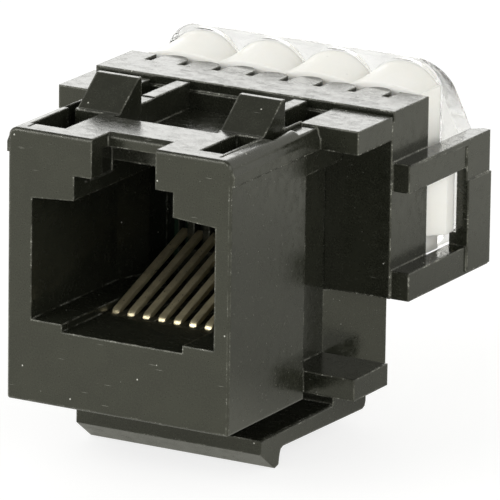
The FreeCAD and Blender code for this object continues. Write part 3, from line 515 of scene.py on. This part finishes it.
def add_solder_joints():
    """A solder cone round each spring contact's tail, on the back of the board."""
    board_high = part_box("circuit_board")[1]
    cones = []
    for number in range(CONTACTS):
        low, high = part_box("plug_contact_%d" % (number + 1))
        tail = ((low[0] + high[0]) / 2, board_high[1], low[2] + WIRE_HALF_THICKNESS)
        cones.append(solder_joint(tail, SOLDER_FOOT_RADIUS, SOLDER_TIP_RADIUS, SOLDER_HEIGHT))
    piece = mesh_from_tubes("solder_joints", cones)
    piece.data.materials.append(finishes["tin_blade"])
    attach(piece, "jack")


add_solder_joints()


# ---------------------------------------------------------------- stage

FLOOR_SIZE = 4.0

PAPER_DARK = (0.93, 0.93, 0.93, 1.0)
PAPER_PALE = (0.97, 0.97, 0.97, 1.0)
PAPER_SEEN = (0.34, 0.34, 0.34, 1.0)
PAPER_STRAIGHT_GLOW = 0.76

WHITE = (1.0, 1.0, 1.0, 1.0)
WARM_GLOW = (1.0, 1.0, 0.88, 1.0)
WARM_SKY = (1.0, 0.995, 0.94, 1.0)

SKY_LEVEL = 0.94
SKY_OVERHEAD = 0.36


def level_plane(name, size, place, material):
    """Square plane of one face, level, with its middle at place."""
    half = size / 2
    corners = np.array([(-half, -half, 0), (half, -half, 0), (half, half, 0), (-half, half, 0)])
    mesh = bpy.data.meshes.new(name)
    mesh.from_pydata((corners + np.array(place)).tolist(), [], [(0, 1, 2, 3)])
    plane = bpy.data.objects.new(name, mesh)
    plane.data.materials.append(material)
    bpy.context.collection.objects.link(plane)


def arriving_rays(tree):
    """Two masks of rays: camera or transmission rays, and these with glossy rays added."""
    path = tree.nodes.new("ShaderNodeLightPath").outputs
    straight = math_node(tree, "MAXIMUM", path["Is Camera Ray"], path["Is Transmission Ray"])
    return straight, math_node(tree, "MAXIMUM", straight, path["Is Glossy Ray"])


def reflected_glow_with_painted_shade(tree):
    """Strength of the paper's glow in reflections, with painted shade: a painted shadow that
    dims it near the object, and a painted dark band at the object's rear that darkens what its
    sides reflect.
    """
    vector = coordinates_in_mm(tree)
    from_middle = node(tree, "ShaderNodeVectorMath", {0: vector, 1: (0.0, 10.0, 0.0)},
                       operation="DISTANCE").outputs["Value"]
    # painted shadow: the glow in reflections is dimmed near the object
    painted_shadow_near_object = spread(tree, from_middle, 6.0, 26.0, 0.5, 0.88)
    rearward = node(tree, "ShaderNodeSeparateXYZ", {"Vector": vector}).outputs["Y"]
    # painted dark band at the object's rear, darkening what its sides reflect
    behind = math_node(tree, "MULTIPLY", spread(tree, rearward, 10.0, 24.0),
                       spread(tree, rearward, 44.0, 66.0, 1.0, 0.55))
    painted_dark_band_depth = -0.7
    return math_node(tree, "MULTIPLY", painted_shadow_near_object,
                     math_node(tree, "MULTIPLY_ADD", behind, painted_dark_band_depth, 1.0))


def white_paper(name):
    """White paper; where it is seen, most of its white is its own glow, so its shadow is
    faint."""
    material, tree = new_material(name)
    straight, seen = arriving_rays(tree)
    fibres = noise(tree, coordinates_in_mm(tree), 0.8, detail=2.0)
    lit = blend_colour(tree, fibres, PAPER_DARK, PAPER_PALE)
    paper = node(tree, "ShaderNodeBsdfDiffuse",
                 {"Color": blend_colour(tree, seen, lit, PAPER_SEEN)})
    # the glow in reflections carries painted shade near the object and at its rear
    strength = math_node(tree, "MAXIMUM", reflected_glow_with_painted_shade(tree),
                         math_node(tree, "MULTIPLY", straight, PAPER_STRAIGHT_GLOW))
    glow = node(tree, "ShaderNodeEmission",
                {"Color": blend_colour(tree, straight, WARM_GLOW, WHITE),
                 "Strength": math_node(tree, "MULTIPLY", seen, strength)})
    both = node(tree, "ShaderNodeAddShader",
                {0: paper.outputs["BSDF"], 1: glow.outputs["Emission"]})
    output = tree.nodes.new("ShaderNodeOutputMaterial")
    link(tree, both.outputs["Shader"], output.inputs["Surface"])
    return material


def light_world(level, overhead):
    """Sky that lights the object at one level, dimmed to the share overhead straight above.
    Reflections and clear plastic see its level as 1, and to the camera it is plain white."""
    world = bpy.data.worlds.new("studio")
    bpy.context.scene.world = world
    world.use_nodes = True
    tree = world.node_tree
    tree.nodes.clear()
    way = tree.nodes.new("ShaderNodeTexCoord").outputs["Generated"]
    height = node(tree, "ShaderNodeSeparateXYZ", {"Vector": way}).outputs["Z"]
    dome = spread(tree, height, 0.45, 0.9, 1.0, overhead)
    seen = arriving_rays(tree)[1]
    strength = math_node(tree, "MULTIPLY",
                         math_node(tree, "MULTIPLY_ADD", seen, 1.0 - level, level), dome)
    camera = tree.nodes.new("ShaderNodeLightPath").outputs["Is Camera Ray"]
    background = node(tree, "ShaderNodeBackground",
                      {"Color": blend_colour(tree, camera, WARM_SKY, WHITE),
                       "Strength": math_node(tree, "MAXIMUM", strength, camera)})
    output = tree.nodes.new("ShaderNodeOutputWorld")
    link(tree, background.outputs["Background"], output.inputs["Surface"])


level_plane("floor", FLOOR_SIZE, (0, 0, cad_box[0][2]), white_paper("floor_paper"))
light_world(SKY_LEVEL, SKY_OVERHEAD)


# ---------------------------------------------------------------- lights

# name, direction from the object's middle, distance, width, height, radiance
PANELS = (
    ("key_panel", (-0.5, -0.75, 0.42), 0.32, 0.19, 0.19, 3.9),
    ("fill_panel", (0.78, -0.58, 0.24), 0.4, 0.3, 0.3, 1.85),
    ("back_panel", (-0.473, 0.838, 0.271), 0.34, 0.26, 0.13, 1.95),
)


def add_panel(name, direction, distance, width, height, radiance):
    """Soft light panel that faces the object's middle; its power follows from its radiance."""
    data = bpy.data.lights.new(name, "AREA")
    data.shape = "RECTANGLE"
    data.size = width
    data.size_y = height
    data.energy = radiance * math.pi * width * height
    panel = bpy.data.objects.new(name, data)
    away = Vector(direction).normalized()
    middle = (Vector(cad_box[0]) + Vector(cad_box[1])) / 2
    turn = away.to_track_quat("Z", "Y").to_matrix().to_4x4()
    panel.matrix_world = Matrix.Translation(middle + away * distance) @ turn
    bpy.context.collection.objects.link(panel)


for panel_values in PANELS:
    add_panel(*panel_values)


# ---------------------------------------------------------------- camera

CAMERA_AZIMUTH = math.radians(29.44)
CAMERA_ELEVATION = math.radians(15.73)
CAMERA_ROLL = math.radians(0.83)
CAMERA_DISTANCE = 0.44484
CAMERA_TARGET = Vector((8.512, 0.0, 11.126)) * MM
CAMERA_SENSOR = 36.0
CAMERA_LENS = 576.0
CAMERA_NEAR = 0.01


def add_camera():
    """Long lens that looks at the target from the front right and slightly above, rolled
    about its own axis."""
    back = Vector((math.sin(CAMERA_AZIMUTH) * math.cos(CAMERA_ELEVATION),
                   -math.cos(CAMERA_AZIMUTH) * math.cos(CAMERA_ELEVATION),
                   math.sin(CAMERA_ELEVATION)))
    right = Vector((math.cos(CAMERA_AZIMUTH), math.sin(CAMERA_AZIMUTH), 0.0))
    up = back.cross(right)
    rolled_right = math.cos(CAMERA_ROLL) * right + math.sin(CAMERA_ROLL) * up
    rolled_up = -math.sin(CAMERA_ROLL) * right + math.cos(CAMERA_ROLL) * up
    data = bpy.data.cameras.new("camera")
    data.sensor_width = CAMERA_SENSOR
    data.lens = CAMERA_LENS
    data.clip_start = CAMERA_NEAR
    camera = bpy.data.objects.new("camera", data)
    turn = Matrix((rolled_right, rolled_up, back)).transposed().to_4x4()
    camera.matrix_world = Matrix.Translation(CAMERA_TARGET + back * CAMERA_DISTANCE) @ turn
    bpy.context.collection.objects.link(camera)
    bpy.context.scene.camera = camera


add_camera()
bpy.context.scene.view_settings.view_transform = "Standard"
